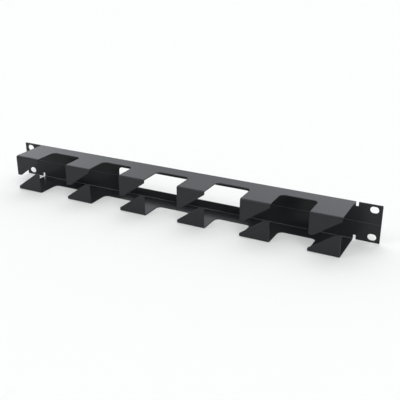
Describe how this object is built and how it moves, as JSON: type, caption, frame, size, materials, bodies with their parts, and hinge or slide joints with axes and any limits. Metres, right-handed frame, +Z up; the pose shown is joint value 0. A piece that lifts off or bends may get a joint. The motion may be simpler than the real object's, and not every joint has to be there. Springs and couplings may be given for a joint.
{
  "type": "rack cable organizer",
  "caption": "Flat rack panel folded into a channel with upper and lower fingers and slanting lips that hold patch cables, with slotted ears and a window in its back.",
  "frame": {"origin": "middle of the four rack slots, on the back face of the ears, which bears on the rack's mounting rails", "axes": "+X along the panel, +Y into the rack (the fingers point along -Y), +Z up"},
  "size_m": [0.4826, 0.0518, 0.0454],
  "materials": {
    "powder_coat": "black semi-gloss powder coat on steel sheet"
  },
  "bodies": {
    "root": {"organizer_panel": "powder_coat"}
  },
  "joints": []
}
